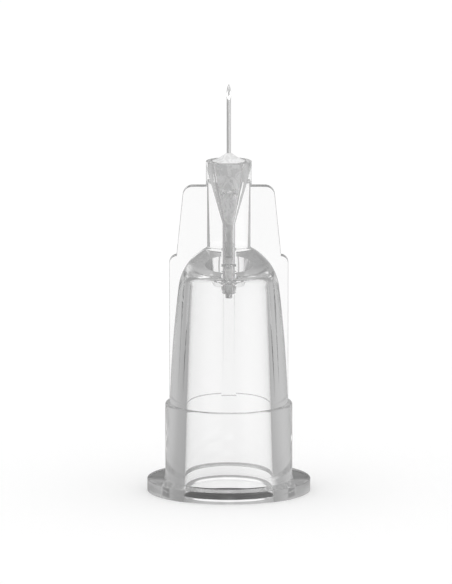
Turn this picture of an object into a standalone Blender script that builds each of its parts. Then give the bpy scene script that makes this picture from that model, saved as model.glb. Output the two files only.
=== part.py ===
"""Luer needle for fine injections: a clear moulded hub, a steel cannula and the glue that holds it.

The needle stands on the flange of its hub. The origin is the centre of the flange's underside and
+Z runs up the cannula. Sizes are in millimetres and are turned into metres as the meshes are made.
"""
import math

import bmesh
import bpy
from mathutils import Matrix, Vector

MM = 0.001

# Hub, outside
FLANGE_RADIUS = 3.90
FLANGE_THICKNESS = 0.56
FLANGE_EDGE_ROUND = 0.05
COLLAR_RADIUS = 3.04
COLLAR_HEIGHT = 3.69
COLLAR_FOOT_ROUND = 0.05
COLLAR_EDGE_ROUND = 0.10
BODY_FOOT_RADIUS = 2.84
BODY_SHOULDER_RADIUS = 2.43
BODY_SIDE_HEIGHT = 5.50
BODY_SIDE_CURVE = 60.0
SHOULDER_HEIGHT = 1.95
SHOULDER_CURVE = 2.48
NECK_RADIUS = 1.09
NECK_FOOT_ROUND = 0.15
NECK_FOOT_TURN = 60.0
HEAD_EDGE_ROUND = 0.03
HUB_HEIGHT = 15.92

# Fins on the hub: each is an upper wing on the neck and shoulder, and a lower rib on the body
FIN_THICKNESS = 0.70
FIN_ROOT_DEPTH = 0.30
WING_TOP_DROP = 1.20
WING_TOP_REACH = 2.20
WING_FOOT_REACH = 2.50
WING_CORNER_ROUND = 0.43
RIB_TOP_DROP = 4.55
RIB_REACH = 2.84

# Hub, inside: the tapered socket, the boss and nipple that hang in it, the bore and the glue well
SOCKET_MOUTH_RADIUS = 2.14
SOCKET_TAPER = 0.06
SOCKET_DEPTH = 10.47
SOCKET_MOUTH_CHAMFER = 0.02
SOCKET_CEILING_ROUND = 0.50
BOSS_ROOT_RADIUS = 0.81
BOSS_TIP_RADIUS = 0.72
BOSS_LENGTH = 0.60
BOSS_EDGE_ROUND = 0.10
NIPPLE_RADIUS = 0.33
NIPPLE_LENGTH = 0.28
NIPPLE_EDGE_ROUND = 0.06
BORE_RADIUS = 0.20
WELL_MOUTH_RADIUS = 0.785
WELL_DEPTH = 3.00

# Cannula: a steel tube whose point has a main bevel and two side grinds
CANNULA_RADIUS = 0.103
CANNULA_BORE_RADIUS = 0.055
CANNULA_REACH = 3.71
CANNULA_TAIL = 0.19
BEVEL_ANGLE = 14.8
LANCET_ANGLE = 20.0
LANCET_TURN = 36.0
LANCET_DROP = 0.03
GRIND_BLOCK = 2.0

# Glue: it fills the well, runs a little way down the bore and rises round the cannula
GLUE_CLEARANCE = 0.010
GLUE_CONE_HEIGHT = 0.38
GLUE_CONE_HOLLOW = 0.30
GLUE_BORE_LENGTH = 1.57

# Facets
HUB_SEGMENTS = 96
SOCKET_SEGMENTS = 72
BORE_SEGMENTS = 32
CANNULA_SEGMENTS = 24
EDGE_STEPS = 3
BODY_STEPS = 8
SHOULDER_STEPS = 9
SMOOTH_ANGLE = 30.0
WELD = 1e-7
OVERSHOOT = 0.5

# Heights that follow from the sizes above
COLLAR_TOP = FLANGE_THICKNESS + COLLAR_HEIGHT
SHOULDER_FOOT = COLLAR_TOP + BODY_SIDE_HEIGHT
SHOULDER_TOP = SHOULDER_FOOT + SHOULDER_HEIGHT
WING_TOP = HUB_HEIGHT - WING_TOP_DROP
RIB_TOP = HUB_HEIGHT - RIB_TOP_DROP
SOCKET_CEILING_RADIUS = SOCKET_MOUTH_RADIUS - SOCKET_DEPTH * SOCKET_TAPER / 2
BOSS_FOOT = SOCKET_DEPTH - BOSS_LENGTH
NIPPLE_FOOT = BOSS_FOOT - NIPPLE_LENGTH
WELL_FOOT = HUB_HEIGHT - WELL_DEPTH
CANNULA_TOP = HUB_HEIGHT + CANNULA_REACH
CANNULA_FOOT = NIPPLE_FOOT - CANNULA_TAIL


def arc(centre, radius, start, end, steps):
    """Points of an arc in the (r, z) plane, from one angle in degrees to another, ends included."""
    points = []
    for step in range(steps + 1):
        angle = math.radians(start + (end - start) * step / steps)
        points.append((centre[0] + radius * math.cos(angle), centre[1] + radius * math.sin(angle)))
    return points


def bowed_line(start, end, radius, steps):
    """Points of an arc that runs down the outside of a turned form and bows away from its axis."""
    start = Vector(start)
    end = Vector(end)
    chord = end - start
    rise = math.sqrt(radius ** 2 - (chord.length / 2) ** 2)
    inward = Vector((chord.y, -chord.x)).normalized()
    centre = (start + end) / 2 + inward * rise
    first = math.degrees(math.atan2(start.y - centre.y, start.x - centre.x))
    last = math.degrees(math.atan2(end.y - centre.y, end.x - centre.x))
    return arc(centre, radius, first, last, steps)


def clear_scene():
    for obj in list(bpy.data.objects):
        bpy.data.objects.remove(obj, do_unlink=True)


def add_collection(name):
    collection = bpy.data.collections.new(name)
    bpy.context.scene.collection.children.link(collection)
    return collection


def principled(name, colour, roughness, metallic=0.0, transmission=0.0):
    """A Principled material with one colour in linear RGB."""
    material = bpy.data.materials.new(name)
    material.use_nodes = True
    shader = material.node_tree.nodes["Principled BSDF"]
    shader.inputs["Base Color"].default_value = (*colour, 1.0)
    shader.inputs["Roughness"].default_value = roughness
    shader.inputs["Metallic"].default_value = metallic
    shader.inputs["Transmission Weight"].default_value = transmission
    return material


def as_cutter(obj):
    """Hides a solid that only cuts or joins another one."""
    obj.hide_render = True
    obj.display_type = "WIRE"
    return obj


def turn(name, profile, segments, collection, closed=False):
    """Turns a profile of (r, z) points round Z. It runs down its outer side, from top to bottom."""
    mesh = bpy.data.meshes.new(name)
    points = [(r * MM, 0.0, z * MM) for r, z in profile]
    edges = [(i, i + 1) for i in range(len(points) - 1)]
    if closed:
        edges.append((len(points) - 1, 0))
    mesh.from_pydata(points, edges, [])
    obj = bpy.data.objects.new(name, mesh)
    collection.objects.link(obj)
    screw = obj.modifiers.new("Turn", "SCREW")
    screw.axis = "Z"
    screw.angle = math.tau
    screw.steps = segments
    screw.render_steps = segments
    screw.use_merge_vertices = True
    screw.merge_threshold = WELD
    screw.use_smooth_shade = True
    return obj


def add_boolean(obj, operation, other):
    modifier = obj.modifiers.new(f"{operation.title()} {other.name}", "BOOLEAN")
    modifier.operation = operation
    modifier.solver = "EXACT"
    modifier.object = other


def apply_modifiers(obj):
    """Keeps the evaluated mesh of an object as its own mesh."""
    depsgraph = bpy.context.evaluated_depsgraph_get()
    mesh = bpy.data.meshes.new_from_object(obj.evaluated_get(depsgraph))
    obj.modifiers.clear()
    obj.data = mesh


def shade(obj, material):
    """Smooth curved faces with crisp edges between them, and one material."""
    obj.data.shade_smooth()
    obj.data.set_sharp_from_angle(angle=math.radians(SMOOTH_ANGLE))
    obj.data.materials.clear()
    obj.data.materials.append(material)


def hub_outside(collection):
    """The turned outside of the hub: head, neck, shoulder, body, collar and flange, still solid."""
    fillet_reach = NECK_FOOT_ROUND * (1 - math.cos(math.radians(NECK_FOOT_TURN)))
    fillet_rise = NECK_FOOT_ROUND * math.sin(math.radians(NECK_FOOT_TURN))
    fillet_centre = (NECK_RADIUS + NECK_FOOT_ROUND, SHOULDER_TOP + fillet_rise)
    head_edge = (NECK_RADIUS - HEAD_EDGE_ROUND, HUB_HEIGHT - HEAD_EDGE_ROUND)
    collar_edge = (COLLAR_RADIUS - COLLAR_EDGE_ROUND, COLLAR_TOP - COLLAR_EDGE_ROUND)
    collar_foot = (COLLAR_RADIUS + COLLAR_FOOT_ROUND, FLANGE_THICKNESS + COLLAR_FOOT_ROUND)
    flange_edge = (FLANGE_RADIUS - FLANGE_EDGE_ROUND, FLANGE_THICKNESS - FLANGE_EDGE_ROUND)
    flange_foot = (FLANGE_RADIUS - FLANGE_EDGE_ROUND, FLANGE_EDGE_ROUND)
    profile = [(0.0, HUB_HEIGHT)]
    profile += arc(head_edge, HEAD_EDGE_ROUND, 90, 0, EDGE_STEPS)
    profile += arc(fillet_centre, NECK_FOOT_ROUND, 180, 180 + NECK_FOOT_TURN, EDGE_STEPS)
    profile += bowed_line((NECK_RADIUS + fillet_reach, SHOULDER_TOP),
                          (BODY_SHOULDER_RADIUS, SHOULDER_FOOT), SHOULDER_CURVE, SHOULDER_STEPS)[1:]
    profile += bowed_line((BODY_SHOULDER_RADIUS, SHOULDER_FOOT),
                          (BODY_FOOT_RADIUS, COLLAR_TOP), BODY_SIDE_CURVE, BODY_STEPS)[1:]
    profile += arc(collar_edge, COLLAR_EDGE_ROUND, 90, 0, EDGE_STEPS)
    profile += arc(collar_foot, COLLAR_FOOT_ROUND, 180, 270, EDGE_STEPS)
    profile += arc(flange_edge, FLANGE_EDGE_ROUND, 90, 0, EDGE_STEPS)
    profile += arc(flange_foot, FLANGE_EDGE_ROUND, 0, -90, EDGE_STEPS)
    profile.append((0.0, 0.0))
    return turn("hub", profile, HUB_SEGMENTS, collection)


def fin_outline():
    """The side view of a fin from the axis outwards, as (r, z) points: wing, step and lower rib."""
    foot = COLLAR_TOP - FIN_ROOT_DEPTH
    lean = math.degrees(math.atan2(WING_FOOT_REACH - WING_TOP_REACH, WING_TOP - RIB_TOP))
    wing_corner = (WING_TOP_REACH - WING_CORNER_ROUND, WING_TOP - WING_CORNER_ROUND)
    step_round = RIB_REACH - WING_FOOT_REACH
    outline = [(0.0, WING_TOP)]
    outline += arc(wing_corner, WING_CORNER_ROUND, 90, lean, 2 * EDGE_STEPS)
    outline += arc((WING_FOOT_REACH, RIB_TOP - step_round), step_round, 90, 0, EDGE_STEPS)
    outline += [(RIB_REACH, foot), (0.0, foot)]
    return outline


def block_cutter(name, width, depth, height, collection):
    """A block that stands on the origin, sized in millimetres."""
    block = bmesh.new()
    bmesh.ops.create_cube(block, size=MM)
    bmesh.ops.scale(block, verts=block.verts, vec=(width, depth, height))
    bmesh.ops.translate(block, verts=block.verts, vec=(0.0, 0.0, height / 2 * MM))
    mesh = bpy.data.meshes.new(name)
    block.to_mesh(mesh)
    block.free()
    obj = bpy.data.objects.new(name, mesh)
    collection.objects.link(obj)
    return as_cutter(obj)


def crossed_fins(collection):
    """The four fins in one: their side view turned round the axis, and only two crossed plates of it kept."""
    fins = as_cutter(turn("fins", fin_outline(), HUB_SEGMENTS, collection))
    across = 2 * (RIB_REACH + OVERSHOOT)
    plates = block_cutter("fin_plate_x", across, FIN_THICKNESS, HUB_HEIGHT, collection)
    add_boolean(plates, "UNION", block_cutter("fin_plate_y", FIN_THICKNESS, across, HUB_HEIGHT, collection))
    add_boolean(fins, "INTERSECT", plates)
    return fins


def socket_cutter(collection):
    """The space of the socket: a 6 % taper on diameter, with the boss and the nipple left standing."""
    wall_lean = math.degrees(math.atan(SOCKET_TAPER / 2))
    ceiling_corner = (SOCKET_CEILING_RADIUS - SOCKET_CEILING_ROUND, SOCKET_DEPTH - SOCKET_CEILING_ROUND)
    nipple_edge = (NIPPLE_RADIUS - NIPPLE_EDGE_ROUND, NIPPLE_FOOT + NIPPLE_EDGE_ROUND)
    boss_edge = (BOSS_TIP_RADIUS - BOSS_EDGE_ROUND, BOSS_FOOT + BOSS_EDGE_ROUND)
    wall_at_chamfer = SOCKET_MOUTH_RADIUS - SOCKET_MOUTH_CHAMFER * SOCKET_TAPER / 2
    mouth = SOCKET_MOUTH_RADIUS + SOCKET_MOUTH_CHAMFER
    profile = [(0.0, NIPPLE_FOOT)]
    profile += arc(nipple_edge, NIPPLE_EDGE_ROUND, 270, 360, EDGE_STEPS)
    profile.append((NIPPLE_RADIUS, BOSS_FOOT))
    profile += arc(boss_edge, BOSS_EDGE_ROUND, 270, 360, EDGE_STEPS)
    profile.append((BOSS_ROOT_RADIUS, SOCKET_DEPTH))
    profile += arc(ceiling_corner, SOCKET_CEILING_ROUND, 90, wall_lean, EDGE_STEPS)
    profile.append((wall_at_chamfer, SOCKET_MOUTH_CHAMFER))
    profile += [(mouth, 0.0), (mouth, -OVERSHOOT), (0.0, -OVERSHOOT)]
    return as_cutter(turn("socket", profile, SOCKET_SEGMENTS, collection))


def well_cutter(collection):
    """The glue well, a cone open at the head, and the bore below it down through the nipple."""
    slope = (WELL_MOUTH_RADIUS - BORE_RADIUS) / WELL_DEPTH
    profile = [
        (0.0, HUB_HEIGHT + OVERSHOOT),
        (WELL_MOUTH_RADIUS + slope * OVERSHOOT, HUB_HEIGHT + OVERSHOOT),
        (BORE_RADIUS, WELL_FOOT),
        (BORE_RADIUS, NIPPLE_FOOT - OVERSHOOT),
        (0.0, NIPPLE_FOOT - OVERSHOOT),
    ]
    return as_cutter(turn("well", profile, BORE_SEGMENTS, collection))


def make_hub(collection, cutters):
    """The hub moulding: turned outside, fins joined on, then the socket and the well cut out."""
    hub = hub_outside(collection)
    add_boolean(hub, "UNION", crossed_fins(cutters))
    add_boolean(hub, "DIFFERENCE", socket_cutter(cutters))
    add_boolean(hub, "DIFFERENCE", well_cutter(cutters))
    apply_modifiers(hub)
    shade(hub, principled("clear_plastic", (0.94, 0.95, 0.95), 0.05, transmission=0.95))
    return hub


def grind_cutter(name, angle, swing, drop, collection):
    """A block whose underside is the plane of one grind, swung round the cannula's axis."""
    grind = block_cutter(name, GRIND_BLOCK, GRIND_BLOCK, GRIND_BLOCK, collection)
    point = Matrix.Translation((0.0, CANNULA_RADIUS * MM, (CANNULA_TOP - drop) * MM))
    tilt = Matrix.Rotation(math.radians(90 - angle), 4, "X")
    turned = Matrix.Rotation(math.radians(swing), 4, "Z")
    grind.matrix_world = point @ turned @ tilt
    return grind


def make_cannula(collection, cutters):
    """The steel tube, its point cut by the main bevel and by a side grind on each hand."""
    top = CANNULA_TOP + OVERSHOOT
    profile = [
        (CANNULA_BORE_RADIUS, top),
        (CANNULA_RADIUS, top),
        (CANNULA_RADIUS, CANNULA_FOOT),
        (CANNULA_BORE_RADIUS, CANNULA_FOOT),
    ]
    cannula = turn("cannula", profile, CANNULA_SEGMENTS, collection, closed=True)
    add_boolean(cannula, "DIFFERENCE", grind_cutter("main_bevel", BEVEL_ANGLE, 0.0, 0.0, cutters))
    for name, side in (("left_grind", -1), ("right_grind", 1)):
        swing = side * LANCET_TURN
        add_boolean(cannula, "DIFFERENCE", grind_cutter(name, LANCET_ANGLE, swing, LANCET_DROP, cutters))
    apply_modifiers(cannula)
    shade(cannula, principled("stainless_steel", (0.66, 0.66, 0.67), 0.25, metallic=1.0))
    return cannula


def make_glue(collection):
    """The cured glue: a plug that fills the well round the cannula, with a low hollow-sided cone on top."""
    hole = CANNULA_RADIUS + GLUE_CLEARANCE
    slope = (WELL_MOUTH_RADIUS - BORE_RADIUS) / WELL_DEPTH
    gap = GLUE_CLEARANCE * math.sqrt(1 + slope ** 2)
    rim = WELL_MOUTH_RADIUS - gap
    foot = WELL_FOOT - GLUE_BORE_LENGTH
    profile = []
    for step in range(BODY_STEPS):
        share = 1 - step / BODY_STEPS
        height = GLUE_CONE_HEIGHT * ((1 - GLUE_CONE_HOLLOW) * share + GLUE_CONE_HOLLOW * share ** 2)
        profile.append((rim + (hole - rim) * share, HUB_HEIGHT + height))
    profile += [
        (rim, HUB_HEIGHT),
        (BORE_RADIUS - GLUE_CLEARANCE, WELL_FOOT),
        (BORE_RADIUS - GLUE_CLEARANCE, foot),
        (hole, foot),
    ]
    glue = turn("adhesive_plug", profile, BORE_SEGMENTS, collection, closed=True)
    apply_modifiers(glue)
    shade(glue, principled("cured_glue", (0.80, 0.80, 0.80), 0.30, transmission=0.30))
    return glue


def main():
    clear_scene()
    needle = add_collection("injection_needle")
    cutters = add_collection("cutters")
    make_hub(needle, cutters)
    make_cannula(needle, cutters)
    make_glue(needle)


main()
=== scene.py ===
"""A fine injection needle that stands on the flange of its clear hub, on a pale floor."""
import math

import bpy
from mathutils import Matrix, Vector


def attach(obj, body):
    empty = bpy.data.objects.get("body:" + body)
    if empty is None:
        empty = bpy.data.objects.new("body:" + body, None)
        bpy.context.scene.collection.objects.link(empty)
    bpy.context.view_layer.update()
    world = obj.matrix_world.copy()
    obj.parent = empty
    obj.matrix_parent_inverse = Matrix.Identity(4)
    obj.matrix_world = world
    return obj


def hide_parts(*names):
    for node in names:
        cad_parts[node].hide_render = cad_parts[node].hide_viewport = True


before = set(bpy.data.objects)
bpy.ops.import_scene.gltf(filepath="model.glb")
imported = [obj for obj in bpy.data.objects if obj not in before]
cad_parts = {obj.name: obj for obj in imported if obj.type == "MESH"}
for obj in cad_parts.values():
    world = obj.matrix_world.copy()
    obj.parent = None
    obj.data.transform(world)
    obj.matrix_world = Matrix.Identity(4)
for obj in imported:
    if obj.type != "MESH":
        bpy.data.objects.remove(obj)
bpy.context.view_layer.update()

# Hub: one clear injection moulding, a turned form with four fins. In it are the tapered socket for
# the syringe, a boss and a nipple that hang from the socket's ceiling, and the glue well at the head.
MM = 0.001
FLANGE_RADIUS = 3.90
FLANGE_THICKNESS = 0.56
FLANGE_EDGE_ROUND = 0.02
COLLAR_RADIUS = 3.04
COLLAR_TOP = 4.25
COLLAR_FOOT_ROUND = 0.05
COLLAR_EDGE_ROUND = 0.10
BODY_FOOT_RADIUS = 2.84
BODY_SHOULDER_RADIUS = 2.43
BODY_SIDE_CURVE = 60.0
SHOULDER_FOOT = 9.75
SHOULDER_TOP = 11.70
SHOULDER_CURVE = 2.48
NECK_RADIUS = 1.09
NECK_FOOT_ROUND = 0.15
NECK_FOOT_TURN = 60.0
HEAD_EDGE_ROUND = 0.03
HUB_HEIGHT = 15.92

FIN_THICKNESS = 0.70
WING_TOP = 14.72
WING_TOP_REACH = 2.20
WING_FOOT_REACH = 2.50
WING_CORNER_ROUND = 0.43
RIB_TOP = 11.37
RIB_REACH = 2.84

SOCKET_MOUTH_RADIUS = 2.14
SOCKET_CEILING_RADIUS = 1.826
SOCKET_CEILING = 10.47
SOCKET_CEILING_ROUND = 0.50
SOCKET_MOUTH_CHAMFER = 0.01
BOSS_ROOT_RADIUS = 0.81
BOSS_TIP_RADIUS = 0.72
BOSS_FOOT = 9.87
BOSS_EDGE_ROUND = 0.10
NIPPLE_RADIUS = 0.33
NIPPLE_FOOT = 9.59
NIPPLE_EDGE_ROUND = 0.06
BORE_RADIUS = 0.20
WELL_MOUTH_RADIUS = 0.785
WELL_FOOT = 12.92
OVERSHOOT = 0.5

HUB_STEPS = 256
BORE_STEPS = 96
ROUND_STEPS = 6
SHOULDER_STEPS = 40
BODY_STEPS = 24
SMOOTH_ANGLE = 30.0
WELD = 1e-7

PLASTIC_IOR = 1.49
PLASTIC_GREY = (0.965, 0.985)
PLASTIC_ROUGHNESS = 0.012
FLOW_SCALE = (300, 300, 120)
FLOW_DETAIL = 3.0
FLOW_BUMP = 0.02
FLOW_DEPTH = 2e-6


def arc(centre, radius, start, end, steps=ROUND_STEPS):
    """Points of an arc in the (r, z) plane, from one angle in degrees to another, ends included."""
    points = []
    for step in range(steps + 1):
        angle = math.radians(start + (end - start) * step / steps)
        points.append((centre[0] + radius * math.cos(angle), centre[1] + radius * math.sin(angle)))
    return points


def bowed_line(start, end, radius, steps):
    """Points of an arc that runs down the outside of a turned form and bows away from its axis."""
    start, end = Vector(start), Vector(end)
    chord = end - start
    rise = math.sqrt(radius ** 2 - (chord.length / 2) ** 2)
    centre = (start + end) / 2 + Vector((chord.y, -chord.x)).normalized() * rise
    first = math.degrees(math.atan2(start.y - centre.y, start.x - centre.x))
    last = math.degrees(math.atan2(end.y - centre.y, end.x - centre.x))
    return arc(centre, radius, first, last, steps)


def spun(name, profile, steps, closed=False):
    """A profile of (r, z) points drawn by extruding one vertex, then spun round Z."""
    bpy.ops.object.select_all(action="DESELECT")
    bpy.ops.mesh.primitive_plane_add(size=MM)
    piece = bpy.context.object
    piece.name = piece.data.name = name
    bpy.ops.object.mode_set(mode="EDIT")
    bpy.ops.mesh.merge(type="CENTER")
    r, z = profile[0]
    bpy.ops.transform.translate(value=(r * MM, 0, z * MM))
    for next_r, next_z in profile[1:] + profile[:1] * closed:
        step = ((next_r - r) * MM, 0, (next_z - z) * MM)
        bpy.ops.mesh.extrude_region_move(TRANSFORM_OT_translate={"value": step})
        r, z = next_r, next_z
    bpy.ops.mesh.select_all(action="SELECT")
    bpy.ops.mesh.spin(steps=steps, angle=math.tau, center=(0, 0, 0), axis=(0, 0, 1))
    bpy.ops.mesh.select_all(action="SELECT")
    bpy.ops.mesh.remove_doubles(threshold=WELD)
    bpy.ops.mesh.normals_make_consistent(inside=False)
    bpy.ops.object.mode_set(mode="OBJECT")
    return piece


def combine(piece, operation, tool):
    """Joins, cuts or keeps the common part of a piece and a tool, and deletes the tool."""
    modifier = piece.modifiers.new(operation, "BOOLEAN")
    modifier.operation = operation
    modifier.solver = "EXACT"
    modifier.object = tool
    bpy.context.view_layer.objects.active = piece
    bpy.ops.object.modifier_apply(modifier=modifier.name)
    bpy.data.objects.remove(tool, do_unlink=True)


def plate(width, length, height):
    """An upright plate through the axis, standing on the floor."""
    bpy.ops.object.select_all(action="DESELECT")
    bpy.ops.mesh.primitive_cube_add(size=MM)
    block = bpy.context.object
    bpy.ops.object.mode_set(mode="EDIT")
    bpy.ops.transform.resize(value=(width, length, height))
    bpy.ops.transform.translate(value=(0, 0, height / 2 * MM))
    bpy.ops.object.mode_set(mode="OBJECT")
    return block


def smooth(piece):
    """Shades a piece smooth, apart from its sharp edges."""
    bpy.ops.object.select_all(action="DESELECT")
    piece.select_set(True)
    bpy.context.view_layer.objects.active = piece
    bpy.ops.object.shade_smooth_by_angle(angle=math.radians(SMOOTH_ANGLE))


class Tone:
    """An output of a shader node: arithmetic between tones adds Math nodes to the same tree."""

    def __init__(self, tree, socket=None):
        self.tree = tree
        self.socket = socket

    def node(self, kind, settings=None, inputs=None, output=0):
        """Adds a node. Its settings, a ramp's stops among them, are set before its sockets."""
        made = self.tree.nodes.new("ShaderNode" + kind)
        for name, value in (settings or {}).items():
            if name == "stops":
                elements = made.color_ramp.elements
                while len(elements) < len(value):
                    elements.new(1.0)
                for element, (place, level) in zip(elements, value):
                    element.position = place
                    element.color = (level, level, level, 1.0)
            else:
                setattr(made, name, value)
        for name, value in (inputs or {}).items():
            if isinstance(value, Tone):
                self.tree.links.new(value.socket, made.inputs[name])
            else:
                made.inputs[name].default_value = value
        return Tone(self.tree, made.outputs[output] if made.outputs else None)

    def math(self, operation, first, second=0.0):
        return self.node("Math", {"operation": operation}, {0: first, 1: second})

    def __add__(self, other):
        return self.math("ADD", self, other)

    def __radd__(self, other):
        return self.math("ADD", other, self)

    def __sub__(self, other):
        return self.math("SUBTRACT", self, other)

    def __rsub__(self, other):
        return self.math("SUBTRACT", other, self)

    def __mul__(self, other):
        return self.math("MULTIPLY", self, other)

    def __rmul__(self, other):
        return self.math("MULTIPLY", other, self)

    def __gt__(self, other):
        return self.math("GREATER_THAN", self, other)

    def __lt__(self, other):
        return self.math("LESS_THAN", self, other)


def new_material(name):
    """A material with its Principled shader and a tone that nodes are added from."""
    material = bpy.data.materials.new(name)
    material.use_nodes = True
    tree = material.node_tree
    return material, tree.nodes["Principled BSDF"].inputs, Tone(tree)


def noise(tones, scale, detail, turn=(0, 0, 0), **more):
    """Noise on the piece's own coordinates, with so many spots a metre along each axis."""
    spot = tones.node("TexCoord", output="Object")
    place = tones.node("Mapping", inputs={"Vector": spot, "Scale": scale, "Rotation": turn})
    return tones.node("TexNoise", inputs={"Vector": place, "Scale": 1.0, "Detail": detail, **more})


def tint(tones, pattern, greys, start=0.3, end=0.7):
    """A grey that follows a pattern from the first level to the second."""
    return tones.node("ValToRGB", {"stops": [(start, greys[0]), (end, greys[1])]}, {"Fac": pattern})


def relief(tones, pattern, strength, depth):
    """A surface that stands a little higher where a pattern is high."""
    return tones.node("Bump", inputs={"Strength": strength, "Distance": depth, "Height": pattern})


def feed(inputs, name, tone):
    tone.tree.links.new(tone.socket, inputs[name])


def dress(piece, material, slot, *nodes):
    """Gives a piece its finish, hangs it from the root body and hides the model's parts that it stands
    for.
    """
    piece.data.materials.clear()
    piece.data.materials.append(material)
    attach(piece, "root")
    if nodes:
        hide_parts(*nodes)


neck_round_reach = NECK_FOOT_ROUND * (1 - math.cos(math.radians(NECK_FOOT_TURN)))
neck_round_rise = NECK_FOOT_ROUND * math.sin(math.radians(NECK_FOOT_TURN))
outside = [(0, HUB_HEIGHT)]
outside += arc((NECK_RADIUS - HEAD_EDGE_ROUND, HUB_HEIGHT - HEAD_EDGE_ROUND), HEAD_EDGE_ROUND, 90, 0)
outside += arc((NECK_RADIUS + NECK_FOOT_ROUND, SHOULDER_TOP + neck_round_rise), NECK_FOOT_ROUND,
               180, 180 + NECK_FOOT_TURN)
outside += bowed_line((NECK_RADIUS + neck_round_reach, SHOULDER_TOP),
                      (BODY_SHOULDER_RADIUS, SHOULDER_FOOT), SHOULDER_CURVE, SHOULDER_STEPS)[1:]
outside += bowed_line((BODY_SHOULDER_RADIUS, SHOULDER_FOOT), (BODY_FOOT_RADIUS, COLLAR_TOP),
                      BODY_SIDE_CURVE, BODY_STEPS)[1:]
outside += arc((COLLAR_RADIUS - COLLAR_EDGE_ROUND, COLLAR_TOP - COLLAR_EDGE_ROUND),
               COLLAR_EDGE_ROUND, 90, 0)
outside += arc((COLLAR_RADIUS + COLLAR_FOOT_ROUND, FLANGE_THICKNESS + COLLAR_FOOT_ROUND),
               COLLAR_FOOT_ROUND, 180, 270)
outside += arc((FLANGE_RADIUS - FLANGE_EDGE_ROUND, FLANGE_THICKNESS - FLANGE_EDGE_ROUND),
               FLANGE_EDGE_ROUND, 90, 0)
outside += arc((FLANGE_RADIUS - FLANGE_EDGE_ROUND, FLANGE_EDGE_ROUND), FLANGE_EDGE_ROUND, 0, -90)
outside.append((0, 0))
hub = spun("needle_hub", outside, HUB_STEPS)

# Two crossed plates are cut to a turned outline, so the four fins' outer edges curve round the axis.
wing_lean = math.degrees(math.atan2(WING_FOOT_REACH - WING_TOP_REACH, WING_TOP - RIB_TOP))
fin_outline = [(0, WING_TOP)]
fin_outline += arc((WING_TOP_REACH - WING_CORNER_ROUND, WING_TOP - WING_CORNER_ROUND),
                   WING_CORNER_ROUND, 90, wing_lean, 2 * ROUND_STEPS)
step_round = RIB_REACH - WING_FOOT_REACH
fin_outline += arc((WING_FOOT_REACH, RIB_TOP - step_round), step_round, 90, 0, 2 * ROUND_STEPS)
fin_outline += [(RIB_REACH, COLLAR_TOP - OVERSHOOT), (0, COLLAR_TOP - OVERSHOOT)]
fins = spun("fins", fin_outline, HUB_STEPS)
plates = plate(2 * FLANGE_RADIUS, FIN_THICKNESS, HUB_HEIGHT)
combine(plates, "UNION", plate(FIN_THICKNESS, 2 * FLANGE_RADIUS, HUB_HEIGHT))
combine(fins, "INTERSECT", plates)
combine(hub, "UNION", fins)

wall_lean = math.degrees(math.atan2(SOCKET_MOUTH_RADIUS - SOCKET_CEILING_RADIUS, SOCKET_CEILING))
socket = [(0, NIPPLE_FOOT)]
socket += arc((NIPPLE_RADIUS - NIPPLE_EDGE_ROUND, NIPPLE_FOOT + NIPPLE_EDGE_ROUND),
              NIPPLE_EDGE_ROUND, 270, 360)
socket.append((NIPPLE_RADIUS, BOSS_FOOT))
socket += arc((BOSS_TIP_RADIUS - BOSS_EDGE_ROUND, BOSS_FOOT + BOSS_EDGE_ROUND),
              BOSS_EDGE_ROUND, 270, 360)
socket.append((BOSS_ROOT_RADIUS, SOCKET_CEILING))
socket += arc((SOCKET_CEILING_RADIUS - SOCKET_CEILING_ROUND, SOCKET_CEILING - SOCKET_CEILING_ROUND),
              SOCKET_CEILING_ROUND, 90, wall_lean, 2 * ROUND_STEPS)
socket += [(SOCKET_MOUTH_RADIUS, SOCKET_MOUTH_CHAMFER),
           (SOCKET_MOUTH_RADIUS + SOCKET_MOUTH_CHAMFER, 0),
           (SOCKET_MOUTH_RADIUS + SOCKET_MOUTH_CHAMFER, -OVERSHOOT), (0, -OVERSHOOT)]
combine(hub, "DIFFERENCE", spun("socket", socket, HUB_STEPS))

well_slope = (WELL_MOUTH_RADIUS - BORE_RADIUS) / (HUB_HEIGHT - WELL_FOOT)
well = [(0, HUB_HEIGHT + OVERSHOOT),
        (WELL_MOUTH_RADIUS + well_slope * OVERSHOOT, HUB_HEIGHT + OVERSHOOT),
        (BORE_RADIUS, WELL_FOOT), (BORE_RADIUS, NIPPLE_FOOT - OVERSHOOT), (0, NIPPLE_FOOT - OVERSHOOT)]
combine(hub, "DIFFERENCE", spun("well", well, BORE_STEPS))
smooth(hub)

clear_plastic, shader, tones = new_material("clear_plastic")
shader["IOR"].default_value = PLASTIC_IOR
shader["Transmission Weight"].default_value = 1.0
flow = noise(tones, FLOW_SCALE, FLOW_DETAIL)
feed(shader, "Base Color", tint(tones, flow, PLASTIC_GREY))
feed(shader, "Roughness", flow * PLASTIC_ROUGHNESS)
feed(shader, "Normal", relief(tones, flow, FLOW_BUMP, FLOW_DEPTH))
dress(hub, clear_plastic, "clear_plastic", "hub")

# Cannula: a drawn stainless steel tube, polished outside and fixed in the hub with glue. Its point is
# ground in three cuts, a long bevel and two side grinds that make the cutting edges.
CANNULA_RADIUS = 0.103
CANNULA_BORE_RADIUS = 0.055
CANNULA_TOP = 19.63
CANNULA_FOOT = 9.40
BEVEL_ANGLE = 14.8
LANCET_ANGLE = 20.0
LANCET_TURN = 36.0
LANCET_DROP = 0.03
CANNULA_EDGE_ROUND = 0.012
CANNULA_STEPS = 96

STEEL_GREY = (0.88, 0.97)
STEEL_ROUGHNESS = 0.16
DRAWN_SCALE = (60000, 60000, 900)
DRAWN_DETAIL = 4.0
DRAWN_ROUGHNESS = 0.14
DRAWN_BUMP = 0.15
DRAWN_DEPTH = 1e-6


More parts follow.
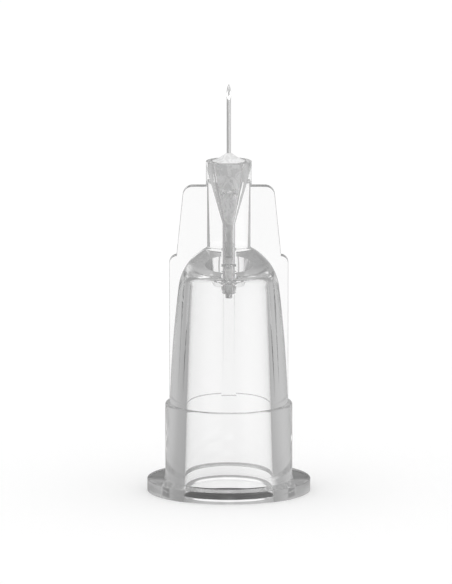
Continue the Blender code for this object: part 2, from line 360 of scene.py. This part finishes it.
def grind(piece, angle, swing, drop):
    """Cuts the point with one flat grind, whose face looks to -Y before it is swung round the axis."""
    away = Matrix.Rotation(math.radians(swing), 3, "Z") @ Vector(
        (0, -math.cos(math.radians(angle)), math.sin(math.radians(angle))))
    bpy.ops.object.select_all(action="DESELECT")
    bpy.context.view_layer.objects.active = piece
    bpy.ops.object.mode_set(mode="EDIT")
    bpy.ops.mesh.select_all(action="SELECT")
    bpy.ops.mesh.bisect(plane_co=(0, CANNULA_RADIUS * MM, (CANNULA_TOP - drop) * MM), plane_no=away,
                        threshold=WELD * MM, use_fill=True, clear_outer=True)
    bpy.ops.object.mode_set(mode="OBJECT")


rod = [(0, CANNULA_TOP + OVERSHOOT), (CANNULA_RADIUS, CANNULA_TOP + OVERSHOOT)]
rod += arc((CANNULA_RADIUS - CANNULA_EDGE_ROUND, CANNULA_FOOT + CANNULA_EDGE_ROUND),
           CANNULA_EDGE_ROUND, 0, -90)
rod.append((0, CANNULA_FOOT))
cannula = spun("needle_cannula", rod, CANNULA_STEPS)
grind(cannula, BEVEL_ANGLE, 0.0, 0.0)
grind(cannula, LANCET_ANGLE, -LANCET_TURN, LANCET_DROP)
grind(cannula, LANCET_ANGLE, LANCET_TURN, LANCET_DROP)
lumen = [(0, CANNULA_TOP + OVERSHOOT), (CANNULA_BORE_RADIUS, CANNULA_TOP + OVERSHOOT),
         (CANNULA_BORE_RADIUS, CANNULA_FOOT - OVERSHOOT), (0, CANNULA_FOOT - OVERSHOOT)]
combine(cannula, "DIFFERENCE", spun("lumen", lumen, CANNULA_STEPS))
smooth(cannula)

stainless_steel, shader, tones = new_material("stainless_steel")
shader["Metallic"].default_value = 1.0
drawn = noise(tones, DRAWN_SCALE, DRAWN_DETAIL)
feed(shader, "Base Color", tint(tones, drawn, STEEL_GREY))
feed(shader, "Roughness", STEEL_ROUGHNESS + drawn * DRAWN_ROUGHNESS)
feed(shader, "Normal", relief(tones, drawn, DRAWN_BUMP, DRAWN_DEPTH))
dress(cannula, stainless_steel, "stainless_steel", "cannula")

# Glue: a milky resin poured in the well round the cannula and cured there. It runs a little way down
# the bore, and at the top it stands up the cannula in a low cone with hollow sides.
GLUE_CLEARANCE = 0.010
GLUE_CONE_HEIGHT = 0.38
GLUE_CONE_HOLLOW = 0.30
GLUE_FOOT = 11.35
GLUE_STEPS = 96
GLUE_CONE_STEPS = 24

GLUE_IOR = 1.50
GLUE_GREY = (0.80, 1.0)
GLUE_ROUGHNESS = 0.25
GLUE_COVER = 0.62
WELL_COVER = 0.30
WELL_FADE_FOOT = WELL_FOOT - 0.5
WELL_FADE_TOP = WELL_FOOT + 0.3
CREPT_COVER = 0.36
CREPT_FADE = 0.05
SWIRL_SCALE = (1500, 1500, 1100)
SWIRL_TURN = (0.3, 0.2, 0)
SWIRL_DETAIL = 4.0
SWIRL_FINENESS = 0.55
SWIRL_DISTORTION = 2.4
SWIRL_LIGHT = 0.6
SWIRL_ROUGHNESS = 0.2
SWIRL_BUMP = 0.3
SWIRL_DEPTH = 1e-5
VEIN_MIDDLE = 0.5
VEIN_SHARPNESS = 12
VEIN_LIGHT = 0.5
VEIN_COVER = 0.2


def ramp(tones, value, start, end, low=0.0, high=1.0):
    """A soft step of a value, from low at its start to high at its end."""
    return tones.node("MapRange", {"interpolation_type": "SMOOTHSTEP"}, {
        "Value": value, "From Min": start, "From Max": end, "To Min": low, "To Max": high})


glue_hole = CANNULA_RADIUS + GLUE_CLEARANCE
glue_rim = WELL_MOUTH_RADIUS - GLUE_CLEARANCE * math.sqrt(1 + well_slope ** 2)
glue_outline = []
for step in range(GLUE_CONE_STEPS):
    share = 1 - step / GLUE_CONE_STEPS
    rise = GLUE_CONE_HEIGHT * ((1 - GLUE_CONE_HOLLOW) * share + GLUE_CONE_HOLLOW * share ** 2)
    glue_outline.append((glue_rim + (glue_hole - glue_rim) * share, HUB_HEIGHT + rise))
glue_outline += [(glue_rim, HUB_HEIGHT), (BORE_RADIUS - GLUE_CLEARANCE, WELL_FOOT),
                 (BORE_RADIUS - GLUE_CLEARANCE, GLUE_FOOT), (glue_hole, GLUE_FOOT)]
glue = spun("glue_plug", glue_outline, GLUE_STEPS, closed=True)
smooth(glue)

# Bright veins lie where the swirl passes its middle. The resin is thin in the bore, and thick in the
# well and where it crept on down.
cured_glue, shader, tones = new_material("cured_glue")
shader["IOR"].default_value = GLUE_IOR
swirl = noise(tones, SWIRL_SCALE, SWIRL_DETAIL, SWIRL_TURN,
              Roughness=SWIRL_FINENESS, Distortion=SWIRL_DISTORTION)
vein = 1 - tones.math("ABSOLUTE", swirl - VEIN_MIDDLE) * VEIN_SHARPNESS
vein = tones.math("MAXIMUM", vein, 0.0)
spot = tones.node("TexCoord", output="Object")
height = tones.node("SeparateXYZ", inputs={"Vector": spot}, output="Z")
in_well = ramp(tones, height, WELL_FADE_FOOT * MM, WELL_FADE_TOP * MM)
crept = ramp(tones, height, (GLUE_FOOT - CREPT_FADE) * MM, GLUE_FOOT * MM, CREPT_COVER, 0.0)
feed(shader, "Base Color", tint(tones, swirl * SWIRL_LIGHT + vein * VEIN_LIGHT, GLUE_GREY, 0.0, 1.0))
feed(shader, "Roughness", GLUE_ROUGHNESS + swirl * SWIRL_ROUGHNESS)
feed(shader, "Alpha", GLUE_COVER + crept + in_well * (WELL_COVER + vein * VEIN_COVER))
feed(shader, "Normal", relief(tones, swirl, SWIRL_BUMP, SWIRL_DEPTH))
dress(glue, cured_glue, "cured_glue", "adhesive_plug")

# Crept glue: the resin that ran on down the bore round the cannula, a thin milky sleeve that ends
# flush with the nipple.
sleeve_top = GLUE_FOOT - 2 * GLUE_CLEARANCE
sleeve_outline = [(glue_hole, sleeve_top), (BORE_RADIUS - GLUE_CLEARANCE, sleeve_top),
                  (BORE_RADIUS - GLUE_CLEARANCE, NIPPLE_FOOT), (glue_hole, NIPPLE_FOOT)]
sleeve = spun("crept_glue", sleeve_outline, GLUE_STEPS, closed=True)
smooth(sleeve)
dress(sleeve, cured_glue, "cured_glue")

# Glue bead: a clear drop of the resin that has set round the cannula's tail, where it hangs from the
# nipple. The steel shows through it.
BEAD_RADIUS = 0.165
BEAD_LENGTH = 0.22
BEAD_GREY = (0.80, 0.92)
BEAD_ROUGHNESS = 0.06
RIPPLE_SCALE = (6000, 6000, 6000)
RIPPLE_DETAIL = 2.0

bead_top = NIPPLE_FOOT - GLUE_CLEARANCE
bead_foot = bead_top - BEAD_LENGTH
bead_bend = BEAD_RADIUS - glue_hole
bead_outline = [(glue_hole, bead_top), (BEAD_RADIUS, bead_top)]
bead_outline += arc((glue_hole, bead_foot + bead_bend), bead_bend, 0, -90)
bead = spun("glue_bead", bead_outline, GLUE_STEPS, closed=True)
smooth(bead)

clear_glue, shader, tones = new_material("clear_glue")
shader["IOR"].default_value = GLUE_IOR
shader["Transmission Weight"].default_value = 1.0
ripple = noise(tones, RIPPLE_SCALE, RIPPLE_DETAIL)
feed(shader, "Base Color", tint(tones, ripple, BEAD_GREY))
feed(shader, "Roughness", ripple * BEAD_ROUGHNESS)
dress(bead, clear_glue, "cured_glue")

# Floor: a plain white table that runs out of sight and lets a little light up through it. It is
# painted with the shade that the flange and the front of the socket's mouth lay on it, and with a
# painted pool of light inside the socket's mouth, where it glows brighter. A wall that mirrors it
# shows the dimmer room instead.
FLOOR_SIZE = 4000.0
FLOOR_DROP = 0.01
FLOOR_WHITE = 0.9
FLOOR_GLOW = 0.12
MOUTH_PAINTED_GLOW = 0.3
SIDE_SHADE = 0.40
SIDE_SHADE_START = 1.8
SIDE_SHADE_END = 2.5
MOUTH_SHADE = 0.10
MOUTH_SHADE_PLACE = Vector((0.0, -1.0, 0.0))
MOUTH_SHADE_SIZE = Vector((2.35, 1.4, 1.0))
MOUTH_SHADE_EDGE = 0.85

ROOM_AIM = (0.2, 0.98, 0.0)
ROOM_LEVELS = [(0.0, 0.52), (0.5, 0.39), (0.8, 0.44), (0.94, 0.54), (1.0, 0.58)]
LAMP_AIM = (0.85, -0.53, 0.0)
LAMP_EDGE = 0.70
LAMP_GLOW = 0.60
NO_BOUNCE = 0.5


def mirrored(tones):
    """1 on a ray that a clear or polished surface has thrown back, and 0 on all others."""
    return (tones.node("LightPath", output="Glossy Depth") > NO_BOUNCE) * (
        tones.node("LightPath", output="Diffuse Depth") < NO_BOUNCE)


def lit_by(tones, towards, aim, edge, glow):
    """The light that a lamp adds to a direction, none at its edge and all of it at its middle."""
    nearness = tones.node("VectorMath", {"operation": "DOT_PRODUCT"}, {0: towards, 1: aim}, "Value")
    return ramp(tones, nearness, edge, 1.0, 0.0, glow)


def room(tones, towards):
    """What a mirroring wall shows: soft grey, dimmest at the sides, and a lamp on the right."""
    facing = tones.node("VectorMath", {"operation": "DOT_PRODUCT"}, {0: towards, 1: ROOM_AIM}, "Value")
    grey = tones.node("ValToRGB", {"stops": ROOM_LEVELS}, {"Fac": facing * 0.5 + 0.5})
    return grey + lit_by(tones, towards, LAMP_AIM, LAMP_EDGE, LAMP_GLOW)


bpy.ops.object.select_all(action="DESELECT")
bpy.ops.mesh.primitive_plane_add(size=FLOOR_SIZE * MM)
floor = bpy.context.object
floor.name = "floor"
bpy.ops.object.mode_set(mode="EDIT")
bpy.ops.transform.translate(value=(0, 0, -FLOOR_DROP * MM))
bpy.ops.object.mode_set(mode="OBJECT")

floor_paint, shader, tones = new_material("floor")
spot = tones.node("TexCoord", output="Object")
reach = tones.node("VectorMath", {"operation": "LENGTH"}, {0: spot}, "Value")
in_mouth = reach < SOCKET_MOUTH_RADIUS * MM
under_flange = (reach > SOCKET_MOUTH_RADIUS * MM) * (reach < FLANGE_RADIUS * MM)
aside = tones.math("ABSOLUTE", tones.node("SeparateXYZ", inputs={"Vector": spot}, output="X"))
side = ramp(tones, aside, SIDE_SHADE_START * MM, SIDE_SHADE_END * MM, 0.0, 1 - SIDE_SHADE)
offset = tones.node("VectorMath", {"operation": "SUBTRACT"}, {0: spot, 1: MOUTH_SHADE_PLACE * MM})
share = tones.node("VectorMath", {"operation": "DIVIDE"}, {0: offset, 1: MOUTH_SHADE_SIZE * MM})
share = tones.node("VectorMath", {"operation": "LENGTH"}, {0: share}, "Value")
mouth = ramp(tones, share, MOUTH_SHADE_EDGE, 1.0, 1.0, 0.0)
dark = tones.math("MAXIMUM", under_flange * side, mouth * (1 - MOUTH_SHADE))
paint = tones.node("BsdfDiffuse", inputs={"Color": FLOOR_WHITE * (1 - dark)})
# Inside the socket's mouth the floor glows brighter: a painted pool of light.
glow = tones.node("Emission", inputs={"Color": (FLOOR_GLOW + in_mouth * MOUTH_PAINTED_GLOW) * (1 - dark)})
seen = tones.node("AddShader", inputs={0: paint, 1: glow})
outwards = tones.node("VectorMath", {"operation": "NORMALIZE"}, {0: spot})
thrown = tones.node("Emission", inputs={"Color": room(tones, outwards)})
mix = tones.node("MixShader", inputs={0: mirrored(tones), 1: seen, 2: thrown})
feed(floor_paint.node_tree.nodes["Material Output"].inputs, "Surface", mix)
floor.data.materials.append(floor_paint)

# Light: a white room on all sides. The walls of the hub throw back a dimmer one, darker still
# overhead, and what has come through both sides of the barrel shows a bright band just above the
# horizon. A small lamp hangs high in front, and the bevel of the point mirrors it.
OVERHEAD = 0.78
OVERHEAD_START = 0.12
BAND_FOOT = (0.08, 0.14)
BAND_TOP = (0.28, 0.33)
BAND_SIDES = (0.90, 0.94)
BAND_GLOW = 0.85
BAND_DIM = 0.45
BOTH_WALLS = 3.5
FRONT_LAMP_AIM = (0.0, -0.94, 0.34)
FRONT_LAMP_EDGE = 0.95
FRONT_LAMP_GLOW = 1.5
world = bpy.data.worlds.new("studio")
bpy.context.scene.world = world
world.use_nodes = True
world.node_tree.nodes.clear()
tones = Tone(world.node_tree)
towards = tones.node("TexCoord", output="Generated")
forward = tones.node("SeparateXYZ", inputs={"Vector": towards}, output="Y")
height = tones.node("SeparateXYZ", inputs={"Vector": towards}, output="Z")
through = tones.node("LightPath", output="Transmission Depth") > BOTH_WALLS
band = ramp(tones, height, *BAND_FOOT) * ramp(tones, height, *BAND_TOP, 1.0, 0.0)
band = band * ramp(tones, forward, *BAND_SIDES)
overhead = ramp(tones, height, 0.0, OVERHEAD_START, 1.0, OVERHEAD)
level = room(tones, towards) * overhead * (1 - band * BAND_DIM) + band * through * BAND_GLOW
level = level + lit_by(tones, towards, FRONT_LAMP_AIM, FRONT_LAMP_EDGE, FRONT_LAMP_GLOW)
white = tones.node("Background", inputs={"Color": (1, 1, 1, 1)})
grey = tones.node("Background", inputs={"Color": level})
mix = tones.node("MixShader", inputs={0: mirrored(tones), 1: white, 2: grey})
tones.node("OutputWorld", inputs={"Surface": mix})

# Camera: a long lens at the photograph's angle, ten degrees above the floor, whose view is 584
# pixels high. Light may pass many walls of the clear hub before it is given up.
AIM = Vector((-0.134, 0.0, 9.574)) * MM
CAMERA_RISE = math.radians(10.0)
CAMERA_FAR = 0.46
PIXELS_PER_MM = 20.95
FRAME_HEIGHT = 584
SENSOR_WIDTH = 36.0
LIGHT_BOUNCES = 32
camera_data = bpy.data.cameras.new("camera")
camera = bpy.data.objects.new("camera", camera_data)
bpy.context.scene.collection.objects.link(camera)
camera.location = AIM + CAMERA_FAR * Vector((0, -math.cos(CAMERA_RISE), math.sin(CAMERA_RISE)))
camera.rotation_euler = (AIM - camera.location).to_track_quat("-Z", "Y").to_euler()
camera_data.sensor_width = SENSOR_WIDTH
camera_data.lens = PIXELS_PER_MM * CAMERA_FAR / MM / FRAME_HEIGHT * SENSOR_WIDTH
bpy.context.scene.camera = camera

scene = bpy.context.scene
scene.view_settings.view_transform = "Standard"
scene.cycles.max_bounces = LIGHT_BOUNCES
scene.cycles.transmission_bounces = LIGHT_BOUNCES
scene.cycles.glossy_bounces = LIGHT_BOUNCES
